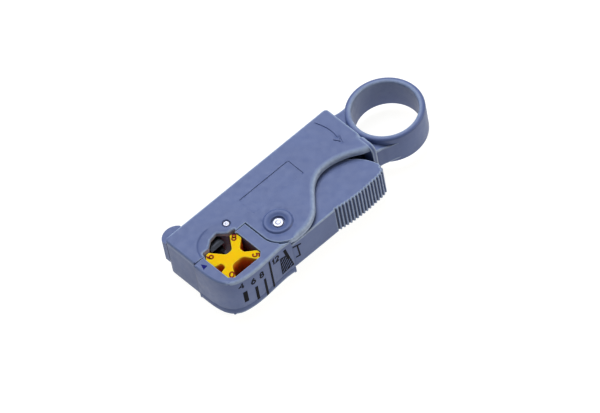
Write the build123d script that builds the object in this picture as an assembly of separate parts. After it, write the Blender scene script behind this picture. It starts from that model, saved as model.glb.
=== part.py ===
from build123d import *

import os
from math import radians, sin

# Rotary coaxial cable stripper, all lengths in mm.
# Drawing frame: X runs from the nose to the finger ring, Y from the thumb lever to the long back
# edge, Z through the thickness, Z = 0 on the back face. The cable lies along Z.
# The finished parts are moved so that the origin is the bottom centre of the whole tool.

# Body moulding
BODY_T = 17.5
PLATE_T = 2.0
NOSE_X = -0.25
END_X = 75.3
BACK_Y = 26.5
PARTING_Y = 10.9
WALL_T = 2.0
NOSE_ROOM_X = 23.6
PLATE_EDGE_ROUND = 0.7
NOSE_CORNER_R = 1.6
END_CORNER_R = 1.5
TOP_HUB_EDGE = ((23.3, 1.5), (24.9, -3.3), (28.6, -6.1))
HUB_STEP = ((29.3, -6.2), (30.0, -6.5))
BOTTOM_HUB_R = 7.0
BOTTOM_CUT_X = 41.0
THUMB_CUT = (
    (33.6, -6.5), (37.7, -5.8), (42.3, -3.3), (46.2, 0.9), (50.3, 5.3),
    (54.6, 7.7), (59.8, 8.0), (66.0, 6.2), (71.1, 3.3),
)
THUMB_CUT_BEVEL = 1.4
PLATE_CORNER_Y = 1.6
END_WALL_Y = 1.2
END_WALL_ROUND = 3.0
LABEL_BOX = (28.1, 11.6, 51.0, 19.5)
LABEL_DEPTH = 0.25
ARROW_SHAFT = ((68.3, 23.8), (69.4, 19.2), (69.0, 14.2))
ARROW_TIP = ((67.4, 14.2), (68.8, 11.4), (70.0, 14.2))
ARROW_W = 0.5
ARROW_DEPTH = 0.3

# Cable notch in the nose, an open half octagon
NOTCH = (
    (4.3, 10.0), (4.9, 12.5), (7.5, 12.5), (10.5, 14.8),
    (13.6, 15.3), (16.3, 12.4), (18.8, 11.9), (19.0, 10.0),
)
DISH_XY = (12.0, 9.6)
DISH_R = 9.2
DISH_INNER_R = 4.0
DISH_DEPTH = 0.7

# Finger ring
RING_XY = (89.8, 12.6)
RING_R = 14.0
RING_BORE_R = 11.7
RING_H = 12.6
RING_ROUND = 0.9
NECK_Z = (4.0, 12.9)
NECK_ROOT_Y = (2.8, 25.3)
NECK_BACK_SIDE = ((77.5, 25.2), (80.8, 24.8), (84.6, 25.4))
NECK_THUMB_SIDE = ((83.2, 0.4), (79.4, 1.6), (76.3, 2.5))

# Pivot
PIVOT_XY = (31.0, 2.9)
PIVOT_PIN_R = 1.95
PIVOT_PIN_Z = (0.6, 17.0)
PIVOT_SINK_R = 2.45
PIVOT_SINK_DEPTH = 0.7
PIVOT_RIM = (3.9, 5.2)
PIVOT_RIM_H = 0.35
BUSH_R = 3.0
BUSH_BORE_R = 2.0
WASHER_R = 4.6
WASHER_T = 0.35
HUB_R = 6.2
HUB_Z = (2.45, 15.05)

# Jaw lever
JAW_GAP = 0.5
JAW_END_X = -1.0
JAW_FACE_Y = 10.6
JAW_SIDE = (
    (-1.0, 6.5), (-0.75, 2.5), (0.0, -1.0), (1.7, -3.9), (4.3, -5.7),
    (8.5, -6.6), (13.4, -6.75), (18.8, -6.4), (24.2, -6.1), (28.2, -6.4),
)
ARM_Z = (2.45, 14.5)
ARM_Y = -6.2
ARM_EDGE_ROUND = 0.5
PAD_EDGE = (
    (48.4, -6.2), (53.4, -7.0), (59.5, -7.4), (65.5, -7.2),
    (69.5, -6.8), (71.3, -6.0), (72.0, -4.3), (72.1, -2.6),
)
ARM_START = (20.0, 9.6)
PAD_END = ((72.1, -2.6), (69.6, 3.1), (62.6, 8.9))
ARM_BACK = ((62.6, 8.9), (57.0, 10.4), (48.0, 9.7), (40.0, 9.4), (31.0, 9.1))
RIB_COUNT = 18
RIB_GROOVE_R = 0.42
RIB_SPAN = (0.02, 0.93)

# V-block, a square prism with a groove in each side, and its pocket
BLOCK_XY = (11.0, 3.9)
BLOCK_SIDE = 14.6
BLOCK_CHAMFER = 1.6
BLOCK_Z = (1.05, 16.9)
BLOCK_CLEAR = 0.15
POCKET_FLOOR = 1.0
# Grooves: direction, depth, width at the mouth and at the floor, sideways offset, corner radius
GROOVES = (
    (90, 5.0, 9.6, 2.6, -0.3, 1.5),
    (0, 3.5, 7.9, 2.2, -0.3, 1.3),
    (270, 4.8, 10.0, 5.0, -0.3, 2.4),
    (180, 2.6, 3.4, 2.2, 0.35, 1.0),
)
CLIP_T = 0.3
CLIP_W = 2.2
CLIP_Z = (3.0, 14.5)
CLIP_BOW = 0.45
CLIP_TOUCH = 0.02

# Blade cassette in the nose
CASSETTE = (1.75, 13.15, 21.05, 26.3)
CASSETTE_Z = (2.1, 15.4)
CASSETTE_CLEAR = 0.15
CASSETTE_FACE_BACK = 0.45
LIP_Z = (5.5, 15.4)
LIP_ARC = ((-0.25, 27.9), (3.9, 30.3), (8.3, 28.2))
LIP_Y = 25.4
CHANNEL_X = (7.8, 14.8)
CHANNEL_Y = 23.2
CHANNEL_Z = (2.75, 14.75)
CASSETTE_PIN_XY = (18.7, 15.6)
CASSETTE_PIN_R = 1.2
CASSETTE_PIN_Z = (0.3, 17.35)

# Blades, sliders and adjusters, one set for each step of the strip
STEP_PITCH = 4.0
STEP_Z = 2.85
TOOL_X = 11.3
SLIDER_W = 6.6
SLIDER_Y = (17.2, 22.7)
SLIDER_H = 3.2
BLADE_T = 0.5
BLADE_W = 5.6
BLADE_Y = (12.2, 21.0)
BLADE_BEVEL = 1.3
BLADE_HOLE_Y = 19.5
BLADE_HOLE_R = 0.8
SCREW_R = 1.0
SCREW_BORE_R = 1.05
SCREW_HEAD_R = 1.7
SCREW_HEAD_Y = (24.62, 26.0)
SCREW_POCKET = (1.8, 24.6)
SCREW_TIP_Y = 17.6
SCREW_HEX = 1.5
SCREW_HEX_DEPTH = 0.9

# Lever spring
SPRING_X = 60.0
SPRING_Z = 8.75
SPRING_R = 2.75
SPRING_WIRE_R = 0.3
SPRING_TURNS = 8
SPRING_SEAT_R = 3.7
SPRING_SEAT_Y = 3.4
SPRING_POST_R = 2.0
SPRING_POST_LEN = 3.2

# Printed marks: x position, width, low z and length of each bar
BARS = (
    (6.15, 1.5, 5.3, 5.4), (10.7, 1.1, 2.6, 6.9),
    (14.7, 0.9, 0.9, 8.9), (18.0, 0.8, 1.9, 13.9),
)
MARK_Y = (-9.0, -5.4)
INK_T = 0.15
CABLE_MARK = (22.2, 4.2, 25.4, 10.6)
CABLE_MARK_STRIPES = 3
ARROWHEAD = ((0.3, 6.9), (1.9, 7.2), (1.0, 8.9))


def cylinder_z(xy, r, z0, z1):
    """Upright cylinder from z0 to z1."""
    return Pos(xy[0], xy[1], (z0 + z1) / 2) * Cylinder(r, z1 - z0)


def cylinder_y(x, z, r, y0, y1):
    """Cylinder along Y from y0 to y1."""
    return Pos(x, (y0 + y1) / 2, z) * Rot(90, 0, 0) * Cylinder(r, y1 - y0)


def block(x0, x1, y0, y1, z0, z1):
    """Box between two corners."""
    return Pos((x0 + x1) / 2, (y0 + y1) / 2, (z0 + z1) / 2) * Box(x1 - x0, y1 - y0, z1 - z0)


def prism(face, z0, z1):
    """Face in the XY plane, extruded from z0 to z1."""
    return Pos(0, 0, z0) * extrude(face, z1 - z0)


def polygon(points):
    """Flat face with straight sides through the points."""
    return make_face(Polyline(*points, close=True))


def plate_back(end):
    """Far side of either plate, from the thumb cut round the back edge to end."""
    back = ((END_X, PLATE_CORNER_Y), (END_X, BACK_Y), (NOSE_X, BACK_Y), (NOSE_X, PARTING_Y))
    return Polyline(THUMB_CUT[-1], *back, end)


def plate_face():
    """Outline of the top plate, without its notch."""
    start = (TOP_HUB_EDGE[0][0], PARTING_Y)
    outline = Line(start, TOP_HUB_EDGE[0])
    outline += ThreePointArc(*TOP_HUB_EDGE)
    outline += Polyline(TOP_HUB_EDGE[2], *HUB_STEP, THUMB_CUT[0])
    outline += Spline(*THUMB_CUT)
    outline += plate_back(start)
    return make_face(outline)


def bottom_plate_face():
    """Outline of the bottom plate, cut back further round the hub than the top one."""
    hub_x, hub_y = PIVOT_XY
    low = hub_y - BOTTOM_HUB_R
    left = (hub_x - BOTTOM_HUB_R, hub_y)
    bend = BOTTOM_HUB_R * sin(radians(45))
    outline = Line((left[0], PARTING_Y), left)
    outline += ThreePointArc(left, (hub_x - bend, hub_y - bend), (hub_x, low))
    outline += Line((hub_x, low), (BOTTOM_CUT_X, low))
    outline += Spline((BOTTOM_CUT_X, low), *THUMB_CUT[3:])
    outline += plate_back((left[0], PARTING_Y))
    return make_face(outline)


def make_ring():
    """Finger ring with rounded rims, on the neck that joins it to the end wall."""
    z0 = (BODY_T - RING_H) / 2
    low, high = NECK_ROOT_Y
    outline = Line((END_X, high), NECK_BACK_SIDE[0])
    outline += ThreePointArc(*NECK_BACK_SIDE)
    outline += Polyline(NECK_BACK_SIDE[2], RING_XY, NECK_THUMB_SIDE[0])
    outline += ThreePointArc(*NECK_THUMB_SIDE)
    outline += Polyline(NECK_THUMB_SIDE[2], (END_X, low), (END_X, high))
    neck = prism(make_face(outline), *NECK_Z)
    neck -= cylinder_z(RING_XY, RING_R - 1, 0, BODY_T)
    ring = cylinder_z(RING_XY, RING_R, z0, z0 + RING_H)
    ring -= cylinder_z(RING_XY, RING_BORE_R, z0, z0 + RING_H)
    return neck + fillet(ring.edges(), RING_ROUND)


def engraved_arrow():
    """Curved arrow that shows which way the tool is spun."""
    arrow = trace(ThreePointArc(*ARROW_SHAFT), ARROW_W) + trace(Polyline(*ARROW_TIP), ARROW_W)
    return prism(arrow, BODY_T - ARROW_DEPTH, BODY_T + 1)


def make_body():
    """Main moulding: two plates, nose, back wall and end wall."""
    top = prism(plate_face(), BODY_T - PLATE_T, BODY_T)
    rim = top.faces().sort_by(Axis.Z)[-1].edges()
    thumb_side = rim.filter_by(lambda e: e.center().Y < 9.5 and e.center().X > 31.5 and e.length > 3)
    top = fillet(thumb_side, THUMB_CUT_BEVEL)
    body = top + prism(bottom_plate_face(), 0, PLATE_T)
    body += block(NOSE_X, NOSE_ROOM_X, PARTING_Y, BACK_Y, 0, BODY_T)
    body += block(NOSE_X, END_X, BACK_Y - WALL_T, BACK_Y, 0, BODY_T)
    end_wall = block(END_X - WALL_T, END_X, END_WALL_Y, BACK_Y, 0, BODY_T)
    low_corners = end_wall.edges().filter_by(Axis.X).group_by(Axis.Y)[0]
    body += fillet(low_corners, END_WALL_ROUND)
    uprights = body.edges().filter_by(Axis.Z)
    body = fillet(uprights.filter_by(lambda e: e.center().X < 0 and e.center().Y > 20), NOSE_CORNER_R)
    flat = body.edges().filter_by(lambda e: abs(e.center().Z - BODY_T / 2) > BODY_T / 2 - 0.01)
    body = fillet(flat.filter_by(lambda e: e.center().X < 0 or e.center().Y > BACK_Y - 1), PLATE_EDGE_ROUND)
    corner = (END_X - END_CORNER_R, BACK_Y - END_CORNER_R)
    sharp = block(corner[0], END_X + 1, corner[1], BACK_Y + 1, -1, BODY_T + 1)
    body -= sharp - cylinder_z(corner, END_CORNER_R, -2, BODY_T + 2)
    # room for the blade cassette, open to the back edge, and the cable notch through everything
    x0, y0, x1, y1 = CASSETTE
    c = CASSETTE_CLEAR
    body -= block(x0 - c, x1 + c, y0 - c, BACK_Y + 1, PLATE_T, BODY_T - PLATE_T)
    body -= prism(polygon(NOTCH), -1, BODY_T + 1)
    dish_x, dish_y = DISH_XY
    dish = Pos(dish_x, dish_y, BODY_T - DISH_DEPTH / 2) * Cone(DISH_INNER_R, DISH_R, DISH_DEPTH)
    body -= dish & block(NOSE_X, NOSE_ROOM_X, PARTING_Y, BACK_Y, 0, BODY_T + 1)
    # pivot: holes, sunk seat and raised rim
    body -= cylinder_z(PIVOT_XY, PIVOT_PIN_R, -1, BODY_T + 1)
    rim_in, rim_out = PIVOT_RIM
    pivot_rim = cylinder_z(PIVOT_XY, rim_out, BODY_T - 0.2, BODY_T + PIVOT_RIM_H)
    pivot_rim -= cylinder_z(PIVOT_XY, rim_in, BODY_T - 1, BODY_T + 1)
    pivot_rim = fillet(pivot_rim.faces().sort_by(Axis.Z)[-1].edges(), PIVOT_RIM_H * 0.8)
    body += pivot_rim
    body -= cylinder_z(PIVOT_XY, PIVOT_SINK_R, BODY_T - PIVOT_SINK_DEPTH, BODY_T + 1)
    body -= cylinder_z(PIVOT_XY, PIVOT_SINK_R, -1, PIVOT_SINK_DEPTH)
    body -= cylinder_z(CASSETTE_PIN_XY, CASSETTE_PIN_R, -1, BODY_T + 1)
    # spring post, label panel and arrow
    inner_y = BACK_Y - WALL_T
    body += cylinder_y(SPRING_X, SPRING_Z, SPRING_POST_R, inner_y - SPRING_POST_LEN, inner_y)
    lx0, ly0, lx1, ly1 = LABEL_BOX
    body -= block(lx0, lx1, ly0, ly1, BODY_T - LABEL_DEPTH, BODY_T + 1)
    body -= engraved_arrow()
    return body


def jaw_face(inset):
    """Outline of the full-height jaw, drawn in by inset on its outer side."""
    left = JAW_END_X + inset
    side = [(left, JAW_SIDE[0][1])] + [(x, y + inset) for x, y in JAW_SIDE[1:]]
    hub_side = (side[-1], (24.45, -3.65), (TOP_HUB_EDGE[0][0] - JAW_GAP, TOP_HUB_EDGE[0][1]))
    outline = Polyline((hub_side[2][0], JAW_FACE_Y), (left, JAW_FACE_Y), side[0])
    outline += Spline(*side, tangents=((0, -1), (1, -0.15)))
    outline += ThreePointArc(*hub_side)
    outline += Line(hub_side[2], (hub_side[2][0], JAW_FACE_Y))
    return make_face(outline)


def pad_edge():
    """Outer edge of the thumb pad, from the arm round the far end."""
    return Spline(*PAD_EDGE)


def arm_face():
    """Outline of the arm and thumb pad, between the body's plates."""
    outline = Polyline(ARM_START, (ARM_START[0], ARM_Y), PAD_EDGE[0])
    outline += pad_edge()
    outline += ThreePointArc(*PAD_END)
    outline += Spline(*ARM_BACK)
    outline += Line(ARM_BACK[-1], ARM_START)
    return make_face(outline)


def groove_face(angle, depth, mouth, floor, offset, radius, grow):
    """One groove of the V-block as a face with a rounded floor, grown outwards by grow."""
    half = BLOCK_SIDE / 2
    flare = (mouth - floor) / depth
    points = (
        (half + 2, offset - mouth / 2 - grow - flare),
        (half - depth - grow, offset - floor / 2 - grow),
        (half - depth - grow, offset + floor / 2 + grow),
        (half + 2, offset + mouth / 2 + grow + flare),
    )
    groove = polygon(points)
    floor_corners = groove.vertices().filter_by(lambda v: v.X < half)
    return Pos(*BLOCK_XY) * Rot(0, 0, angle) * fillet(floor_corners, radius)


def block_face(grow):
    """Square of the V-block with its corners cut off, grown by grow."""
    square = Rectangle(BLOCK_SIDE + 2 * grow, BLOCK_SIDE + 2 * grow)
    return Pos(*BLOCK_XY) * chamfer(square.vertices(), BLOCK_CHAMFER)


def make_v_block():
    """Four-way V-block: each side presses a different cable size."""
    shape = block_face(0)
    for groove in GROOVES:
        shape -= groove_face(*groove, 0)
    return prism(shape, *BLOCK_Z)


def clip_frame():
    """Places the clip on the corner of the pocket: local X points away from the block."""
    half = BLOCK_SIDE / 2 - BLOCK_CHAMFER / 2 + BLOCK_CLEAR
    return Pos(BLOCK_XY[0] - half, BLOCK_XY[1] - half, 0) * Rot(0, 0, 225)


def make_clip():
    """Bowed leaf spring that bears on the V-block's corner."""
    low, high = CLIP_Z
    middle = (low + high) / 2
    back = CLIP_BOW + CLIP_T
    outer = ThreePointArc((back, 0, low), (CLIP_T, 0, middle), (back, 0, high))
    inner = ThreePointArc((CLIP_BOW, 0, low), (CLIP_TOUCH, 0, middle), (CLIP_BOW, 0, high))
    ends = [Line((back, 0, z), (CLIP_BOW, 0, z)) for z in CLIP_Z]
    strip = extrude(make_face(outer + inner + ends), CLIP_W / 2, dir=(0, 1, 0), both=True)
    return clip_frame() * strip


def ink_shapes():
    """Prisms through which the side marks are printed."""
    shapes = [block(x - w / 2, x + w / 2, *MARK_Y, z, z + length) for x, w, z, length in BARS]
    x0, z0, x1, z1 = CABLE_MARK
    pitch = (x1 - x0) / CABLE_MARK_STRIPES
    for i in range(CABLE_MARK_STRIPES):
        shapes.append(block(x0 + i * pitch, x0 + (i + 0.6) * pitch, *MARK_Y, z0, z1))
    return shapes


def make_ink(jaw):
    """Thin printed layer let into the jaw's side and top."""
    skin = jaw - prism(jaw_face(INK_T), -1, BODY_T + 1)
    marks = []
    for shape in ink_shapes():
        marks += (shape & skin).solids()
    marks.append(prism(polygon(ARROWHEAD), BODY_T - INK_T, BODY_T))
    return marks


def make_lever(ink):
    """Jaw lever: full-height jaw, thinner arm, hub and ribbed thumb pad."""
    jaw = prism(jaw_face(0), 0, BODY_T)
    arm = prism(arm_face(), *ARM_Z)
    flat = arm.edges().filter_by(lambda e: abs(e.center().Z - BODY_T / 2) > 5.7)
    arm = fillet(flat.filter_by(lambda e: e.center().X > 66 or e.center().Y < -4), ARM_EDGE_ROUND)
    path = pad_edge()
    first, last = RIB_SPAN
    for i in range(RIB_COUNT):
        at = path.position_at(first + (last - first) * i / (RIB_COUNT - 1))
        arm -= cylinder_z((at.X, at.Y), RIB_GROOVE_R, 0, BODY_T)
    lever = jaw + arm + cylinder_z(PIVOT_XY, HUB_R, *HUB_Z)
    lever -= cylinder_z(PIVOT_XY, BUSH_R, -1, BODY_T + 1)
    # pocket for the V-block with a floor, and the cable's way out through that floor
    lever -= prism(block_face(BLOCK_CLEAR), POCKET_FLOOR, BODY_T + 1)
    lever -= prism(groove_face(*GROOVES[0], BLOCK_CLEAR), -1, POCKET_FLOOR + 1)
    reach = CLIP_BOW + CLIP_T
    low, high = CLIP_Z
    slot = Pos(reach / 2 - 0.3, 0, (low + high) / 2) * Box(reach + 0.6, CLIP_W + 0.4, high - low + 1)
    lever -= clip_frame() * slot
    lever -= cylinder_y(SPRING_X, SPRING_Z, SPRING_SEAT_R, SPRING_SEAT_Y, 14)
    for mark in ink:
        lever -= mark
    return lever


def notch_back(distance):
    """Notch outline moved towards the back edge."""
    return polygon([(x, y + distance) for x, y in NOTCH[1:-1]] + [(NOTCH[-2][0], 10), (NOTCH[1][0], 10)])


def nose_corner(gap):
    """Body wall beside the cassette, with its rounded corner, grown by gap."""
    centre = (NOSE_X + NOSE_CORNER_R, BACK_Y - NOSE_CORNER_R)
    wall = block(NOSE_X - 1, CASSETTE[0] - gap, PARTING_Y, BACK_Y + gap, 0, BODY_T)
    sharp = block(NOSE_X - 1, centre[0], centre[1], BACK_Y + 1, 0, BODY_T)
    return wall - (sharp - cylinder_z(centre, NOSE_CORNER_R + gap, -1, BODY_T + 1))


def make_cassette():
    """Blade cassette with its grip lip, slider channel and screw holes."""
    x0, y0, x1, y1 = CASSETTE
    cassette = block(x0, x1, y0, y1, *CASSETTE_Z)
    lip = Line((LIP_ARC[0][0], LIP_Y), LIP_ARC[0])
    lip += ThreePointArc(*LIP_ARC)
    lip += Polyline(LIP_ARC[2], (LIP_ARC[2][0], LIP_Y), (LIP_ARC[0][0], LIP_Y))
    cassette += prism(make_face(lip), *LIP_Z) - nose_corner(0.1)
    cassette -= prism(notch_back(CASSETTE_FACE_BACK), 0, BODY_T)
    cassette -= block(*CHANNEL_X, y0 - 1, CHANNEL_Y, *CHANNEL_Z)
    for z in screw_heights():
        cassette -= cylinder_y(TOOL_X, z, SCREW_BORE_R, CHANNEL_Y - 1, BACK_Y + 1)
        cassette -= cylinder_y(TOOL_X, z, SCREW_POCKET[0], SCREW_POCKET[1], BACK_Y + 1)
    cassette -= cylinder_z(CASSETTE_PIN_XY, CASSETTE_PIN_R, -1, BODY_T + 1)
    return cassette


def screw_heights():
    """Height of each adjuster's axis."""
    return [STEP_Z + i * STEP_PITCH + SLIDER_H / 2 for i in range(3)]


def make_slider(z0):
    """Blade carrier with a locating stud and the adjuster's thread bore."""
    low, high = SLIDER_Y
    slider = block(TOOL_X - SLIDER_W / 2, TOOL_X + SLIDER_W / 2, low, high, z0, z0 + SLIDER_H)
    slider = chamfer(slider.edges().filter_by(Axis.Z), 0.4)
    slider -= cylinder_y(TOOL_X, z0 + SLIDER_H / 2, SCREW_BORE_R, low - 1, high + 1)
    stud = (TOOL_X, BLADE_HOLE_Y)
    slider += cylinder_z(stud, BLADE_HOLE_R - 0.05, z0 + SLIDER_H - 0.5, z0 + SLIDER_H + BLADE_T)
    return slider


def make_blade(z0):
    """Flat blade with one ground edge and a locating hole."""
    low, high = BLADE_Y
    z = z0 + SLIDER_H
    profile = ((low, z), (high, z), (high, z + BLADE_T), (low + BLADE_BEVEL, z + BLADE_T), (low, z + 0.05))
    side = Plane(origin=(TOOL_X, 0, 0), x_dir=(0, 1, 0), z_dir=(1, 0, 0)) * polygon(profile)
    blade = extrude(side, BLADE_W / 2, both=True)
    return blade - cylinder_z((TOOL_X, BLADE_HOLE_Y), BLADE_HOLE_R, z - 1, z + 2)


def make_adjuster(z0):
    """Hex-socket screw that moves one slider."""
    z = z0 + SLIDER_H / 2
    head_low, head_high = SCREW_HEAD_Y
    screw = cylinder_y(TOOL_X, z, SCREW_R, SCREW_TIP_Y, head_high)
    screw += cylinder_y(TOOL_X, z, SCREW_HEAD_R, head_low, head_high)
    socket = RegularPolygon(SCREW_HEX / 2, 6, major_radius=False)
    plane = Plane(origin=(TOOL_X, head_high, z), x_dir=(1, 0, 0), z_dir=(0, 1, 0))
    return screw - extrude(plane * socket, -SCREW_HEX_DEPTH)


def make_spring():
    """Compression spring between the lever's seat and the back wall."""
    low = SPRING_SEAT_Y + SPRING_WIRE_R + 0.1
    high = BACK_Y - WALL_T - SPRING_WIRE_R - 0.1
    length = high - low
    helix = Helix(length / SPRING_TURNS, length, SPRING_R)
    section = Plane(origin=helix @ 0, z_dir=helix % 0) * Circle(SPRING_WIRE_R)
    coil = sweep(section, path=helix, is_frenet=True)
    return Pos(SPRING_X, low, SPRING_Z) * Rot(-90, 0, 0) * coil


def make_washers():
    """One washer on each side of the lever's hub."""
    rings = []
    for z in (PLATE_T, BODY_T - PLATE_T - WASHER_T):
        disc = cylinder_z(PIVOT_XY, WASHER_R, z, z + WASHER_T)
        rings.append(disc - cylinder_z(PIVOT_XY, PIVOT_PIN_R, 0, BODY_T))
    return rings


ink = make_ink(prism(jaw_face(0), 0, BODY_T))
pin = cylinder_z(PIVOT_XY, PIVOT_PIN_R, *PIVOT_PIN_Z)
bush = cylinder_z(PIVOT_XY, BUSH_R, *HUB_Z) - cylinder_z(PIVOT_XY, BUSH_BORE_R, 0, BODY_T)
nodes = {
    "body": [make_body()],
    "finger_ring": [make_ring()],
    "jaw_lever": [make_lever(ink)],
    "v_block": [make_v_block()],
    "v_block_clip": [make_clip()],
    "scale_print": ink,
    "pivot_pin": [chamfer(pin.edges(), 0.25)],
    "pivot_bush": [bush],
    "pivot_washers": make_washers(),
    "lever_spring": [make_spring()],
    "blade_cassette": [make_cassette()],
    "cassette_pin": [chamfer(cylinder_z(CASSETTE_PIN_XY, CASSETTE_PIN_R, *CASSETTE_PIN_Z).edges(), 0.2)],
}
for i in range(3):
    z = STEP_Z + i * STEP_PITCH
    nodes[f"blade_{i + 1}"] = [make_blade(z)]
    nodes[f"slider_{i + 1}"] = [make_slider(z)]
    nodes[f"adjuster_{i + 1}"] = [make_adjuster(z)]

# The origin is the bottom centre of the tool's box
every_solid = [solid for shapes in nodes.values() for shape in shapes for solid in shape.solids()]
box = Compound(every_solid).bounding_box()
to_origin = Pos(-(box.min.X + box.max.X) / 2, -(box.min.Y + box.max.Y) / 2, -box.min.Z)
os.makedirs("parts", exist_ok=True)
for name, shapes in nodes.items():
    solids = [to_origin * solid for shape in shapes for solid in shape.solids()]
    export_step(solids[0] if len(solids) == 1 else Compound(solids), f"parts/{name}.step")
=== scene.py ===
import math

import bmesh
import bpy
import numpy as np
from mathutils import Matrix, Vector
from mathutils.geometry import delaunay_2d_cdt


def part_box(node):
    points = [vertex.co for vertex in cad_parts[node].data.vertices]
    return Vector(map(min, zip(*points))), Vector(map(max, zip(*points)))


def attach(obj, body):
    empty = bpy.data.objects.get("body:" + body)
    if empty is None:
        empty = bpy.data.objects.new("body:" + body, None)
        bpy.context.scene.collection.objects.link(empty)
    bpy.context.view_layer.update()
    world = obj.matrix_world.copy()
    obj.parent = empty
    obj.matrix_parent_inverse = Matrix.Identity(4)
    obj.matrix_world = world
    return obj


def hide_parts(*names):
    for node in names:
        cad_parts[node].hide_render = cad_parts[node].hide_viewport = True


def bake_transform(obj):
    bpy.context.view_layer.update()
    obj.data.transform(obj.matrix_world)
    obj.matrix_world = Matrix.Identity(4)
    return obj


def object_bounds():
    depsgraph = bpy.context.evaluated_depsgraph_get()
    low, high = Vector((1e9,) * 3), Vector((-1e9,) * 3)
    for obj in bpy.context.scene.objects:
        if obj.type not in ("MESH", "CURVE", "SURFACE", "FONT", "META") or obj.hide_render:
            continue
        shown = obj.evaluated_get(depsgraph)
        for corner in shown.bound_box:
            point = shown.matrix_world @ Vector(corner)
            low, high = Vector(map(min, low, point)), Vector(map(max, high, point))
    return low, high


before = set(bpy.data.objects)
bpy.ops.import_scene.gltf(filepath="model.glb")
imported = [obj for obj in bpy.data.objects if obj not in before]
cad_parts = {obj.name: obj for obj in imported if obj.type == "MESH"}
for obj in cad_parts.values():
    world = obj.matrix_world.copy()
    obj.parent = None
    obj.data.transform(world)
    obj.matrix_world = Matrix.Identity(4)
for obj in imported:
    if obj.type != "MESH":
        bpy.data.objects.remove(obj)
cad_low, cad_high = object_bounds()

# Lengths below are millimetres in the drawing frame of the part; the cassette pin ties it to the row frame.
MM = 0.001
pin_low, pin_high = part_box("cassette_pin")
PIN_X, PIN_Y = 18.7, 15.6
SHIFT_X = (pin_low.x + pin_high.x) / 2 / MM - PIN_X
SHIFT_Y = (pin_low.y + pin_high.y) / 2 / MM - PIN_Y

BODY_T = 17.5
PLATE_T = 2.0
NOSE_X = -0.25
NOSE_CORNER_R = 1.6
END_X = 75.3
END_CORNER_R = 1.5
BACK_Y = 26.5
PARTING_Y = 10.9
ROOM_X = 23.6
WALL_T = 2.0
PIVOT = (31.0, 2.9)
RING = (89.8, 12.6)
RING_R = 14.0
RING_BORE_R = 11.7
NOTCH = ((18.8, 11.9), (16.3, 12.4), (13.6, 15.3), (10.5, 14.8), (7.5, 12.5), (4.9, 12.5))
NOTCH_ENDS = ((19.0, PARTING_Y), (4.3, PARTING_Y))
THUMB_CUT = (
    (33.6, -6.5), (37.7, -5.8), (42.3, -3.3), (46.2, 0.9), (50.3, 5.3),
    (54.6, 7.7), (59.8, 8.0), (66.0, 6.2), (71.1, 3.3),
)
JAW_SIDE = (
    (-1.0, 6.5), (-0.75, 2.5), (0.0, -1.0), (1.7, -3.9), (4.3, -5.7),
    (8.5, -6.6), (13.4, -6.75), (18.8, -6.4), (24.2, -6.1), (28.2, -6.4),
)
PAD_EDGE = (
    (48.4, -6.2), (53.4, -7.0), (59.5, -7.4), (65.5, -7.2),
    (69.5, -6.8), (71.3, -6.0), (72.0, -4.3), (72.1, -2.6),
)
STEP = 0.35


# ---------------------------------------------------------------- outlines


def arc(a, b, c, step=STEP):
    """Points on the circle through a, b and c, from a to c."""
    ax, ay, bx, by, cx, cy = *a, *b, *c
    d = 2 * (ax * (by - cy) + bx * (cy - ay) + cx * (ay - by))
    sa, sb, sc = ax * ax + ay * ay, bx * bx + by * by, cx * cx + cy * cy
    ux = (sa * (by - cy) + sb * (cy - ay) + sc * (ay - by)) / d
    uy = (sa * (cx - bx) + sb * (ax - cx) + sc * (bx - ax)) / d
    r = math.hypot(ax - ux, ay - uy)
    t0, t1, t2 = (math.atan2(y - uy, x - ux) for x, y in (a, b, c))
    if d > 0:
        t1 += 2 * math.pi * (t1 < t0)
        t2 += 2 * math.pi * (t2 < t0)
    else:
        t1 -= 2 * math.pi * (t1 > t0)
        t2 -= 2 * math.pi * (t2 > t0)
    n = max(4, int(abs(t2 - t0) * r / step))
    return [(ux + r * math.cos(t), uy + r * math.sin(t)) for t in np.linspace(t0, t2, n + 1)]


def circle(centre, r, n=64):
    """Closed circle."""
    angles = [2 * math.pi * i / n for i in range(n)]
    return [(centre[0] + r * math.cos(t), centre[1] + r * math.sin(t)) for t in angles]


def curve(points, step=STEP, ends=None):
    """Smooth curve through the points (Catmull-Rom on chord length)."""
    p = [np.array(q, float) for q in points]
    first = p[0] * 2 - p[1] if ends is None else p[0] - np.array(ends[0]) * np.linalg.norm(p[1] - p[0])
    last = p[-1] * 2 - p[-2] if ends is None else p[-1] + np.array(ends[1]) * np.linalg.norm(p[-1] - p[-2])
    p = [first, *p, last]
    out = []
    for i in range(1, len(p) - 2):
        a, b, c, d = p[i - 1 : i + 3]
        ta, tb, tc = (max(1e-6, np.linalg.norm(v - u)) ** 0.5 for u, v in ((a, b), (b, c), (c, d)))
        m1 = (b - a) / ta - (c - a) / (ta + tb) + (c - b) / tb
        m2 = (c - b) / tb - (d - b) / (tb + tc) + (d - c) / tc
        n = max(2, int(np.linalg.norm(c - b) / step))
        for k in range(n):
            t = k / n
            h = (2 * t**3 - 3 * t**2 + 1, t**3 - 2 * t**2 + t, -2 * t**3 + 3 * t**2, t**3 - t**2)
            out.append(tuple(h[0] * b + h[1] * tb * m1 + h[2] * c + h[3] * tb * m2))
    out.append(tuple(p[-2]))
    return out


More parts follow.
